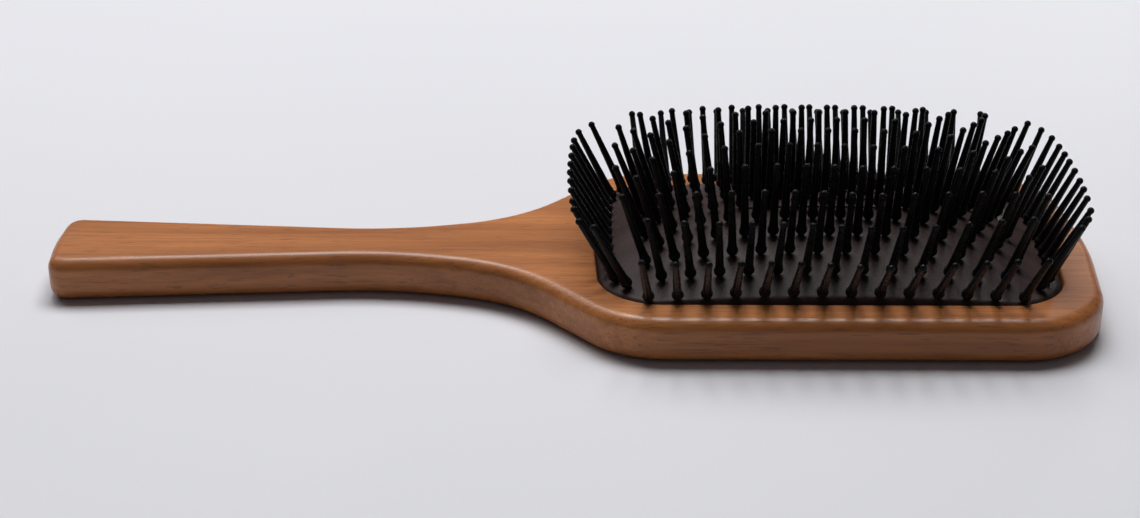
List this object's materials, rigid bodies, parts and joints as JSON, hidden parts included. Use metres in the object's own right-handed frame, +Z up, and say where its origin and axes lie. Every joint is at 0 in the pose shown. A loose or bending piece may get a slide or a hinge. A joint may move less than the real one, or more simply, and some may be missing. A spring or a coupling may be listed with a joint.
{
  "type": "paddle hairbrush",
  "caption": "Flat wooden paddle hairbrush with an air-filled rubber cushion set in its head and splayed ball-tipped nylon pins.",
  "frame": {"origin": "middle of the footprint, on the surface the brush lies on with its pins up", "axes": "+X along the brush towards the free end of the head, +Y across it, +Z up out of the pins"},
  "size_m": [0.255, 0.094, 0.041],
  "materials": {
    "wood": "satin lacquered medium brown wood with fine lengthwise grain",
    "rubber": "soft dark brown-grey natural rubber",
    "nylon": "glossy black nylon"
  },
  "bodies": {
    "handle": {"wooden_body": "wood"},
    "cushion": {"rubber_cushion": "rubber"},
    "pin_row_02": {"pin_row_02": "nylon"},
    "pin_row_03": {"pin_row_03": "nylon"},
    "pin_row_04": {"pin_row_04": "nylon"},
    "pin_row_05": {"pin_row_05": "nylon"},
    "pin_row_06": {"pin_row_06": "nylon"},
    "pin_row_07": {"pin_row_07": "nylon"},
    "pin_row_08": {"pin_row_08": "nylon"},
    "pin_row_09": {"pin_row_09": "nylon"},
    "pin_row_10": {"pin_row_10": "nylon"},
    "pin_row_01": {"pin_row_01": "nylon"},
    "pin_row_11": {"pin_row_11": "nylon"},
    "heel_pins": {"heel_pins": "nylon"},
    "toe_pins": {"toe_pins": "nylon"}
  },
  "joints": [
    {"name": "cushion_press", "type": "slide", "parent": "handle", "child": "cushion", "axis": [0, 0, -1], "range_m": [0, 0.0025], "stiffness_N_per_m": 3000, "deforming": ["rubber_cushion"]},
    {"name": "row_02_rock", "type": "hinge", "parent": "cushion", "child": "pin_row_02", "pos_m": [0.0616, -0.0254, 0.01442], "axis": [1, 0, 0], "range_deg": [-10, 10], "stiffness_Nm_per_rad": 0.12},
    {"name": "row_03_rock", "type": "hinge", "parent": "cushion", "child": "pin_row_03", "pos_m": [0.0616, -0.01905, 0.01633], "axis": [1, 0, 0], "range_deg": [-10, 10], "stiffness_Nm_per_rad": 0.12},
    {"name": "row_04_rock", "type": "hinge", "parent": "cushion", "child": "pin_row_04", "pos_m": [0.0616, -0.0127, 0.01783], "axis": [1, 0, 0], "range_deg": [-10, 10], "stiffness_Nm_per_rad": 0.12},
    {"name": "row_05_rock", "type": "hinge", "parent": "cushion", "child": "pin_row_05", "pos_m": [0.0616, -0.00635, 0.01888], "axis": [1, 0, 0], "range_deg": [-10, 10], "stiffness_Nm_per_rad": 0.12},
    {"name": "row_06_rock", "type": "hinge", "parent": "cushion", "child": "pin_row_06", "pos_m": [0.0616, 0, 0.01935], "axis": [1, 0, 0], "range_deg": [-10, 10], "stiffness_Nm_per_rad": 0.12},
    {"name": "row_07_rock", "type": "hinge", "parent": "cushion", "child": "pin_row_07", "pos_m": [0.0616, 0.00635, 0.01888], "axis": [1, 0, 0], "range_deg": [-10, 10], "stiffness_Nm_per_rad": 0.12},
    {"name": "row_08_rock", "type": "hinge", "parent": "cushion", "child": "pin_row_08", "pos_m": [0.0616, 0.0127, 0.01783], "axis": [1, 0, 0], "range_deg": [-10, 10], "stiffness_Nm_per_rad": 0.12},
    {"name": "row_09_rock", "type": "hinge", "parent": "cushion", "child": "pin_row_09", "pos_m": [0.0616, 0.01905, 0.01633], "axis": [1, 0, 0], "range_deg": [-10, 10], "stiffness_Nm_per_rad": 0.12},
    {"name": "row_10_rock", "type": "hinge", "parent": "cushion", "child": "pin_row_10", "pos_m": [0.0616, 0.0254, 0.01442], "axis": [1, 0, 0], "range_deg": [-10, 10], "stiffness_Nm_per_rad": 0.12},
    {"name": "row_01_fold", "type": "hinge", "parent": "handle", "child": "pin_row_01", "pos_m": [0.0616, -0.03385, 0.0108], "axis": [-1, 0, 0], "range_deg": [0, 8]},
    {"name": "row_11_fold", "type": "hinge", "parent": "handle", "child": "pin_row_11", "pos_m": [0.0616, 0.03385, 0.0108], "axis": [1, 0, 0], "range_deg": [0, 8]},
    {"name": "heel_pins_fold", "type": "hinge", "parent": "handle", "child": "heel_pins", "pos_m": [0.0056, 0, 0.0108], "axis": [0, 1, 0], "range_deg": [0, 12]},
    {"name": "toe_pins_fold", "type": "hinge", "parent": "handle", "child": "toe_pins", "pos_m": [0.1176, 0, 0.0108], "axis": [0, -1, 0], "range_deg": [0, 12]}
  ],
  "couplings": [
    {"joint": "row_01_fold", "follows": "cushion_press", "rad_per_m": 55.823},
    {"joint": "row_11_fold", "follows": "cushion_press", "rad_per_m": 55.823},
    {"joint": "heel_pins_fold", "follows": "cushion_press", "rad_per_m": 83.734},
    {"joint": "toe_pins_fold", "follows": "cushion_press", "rad_per_m": 83.734}
  ]
}
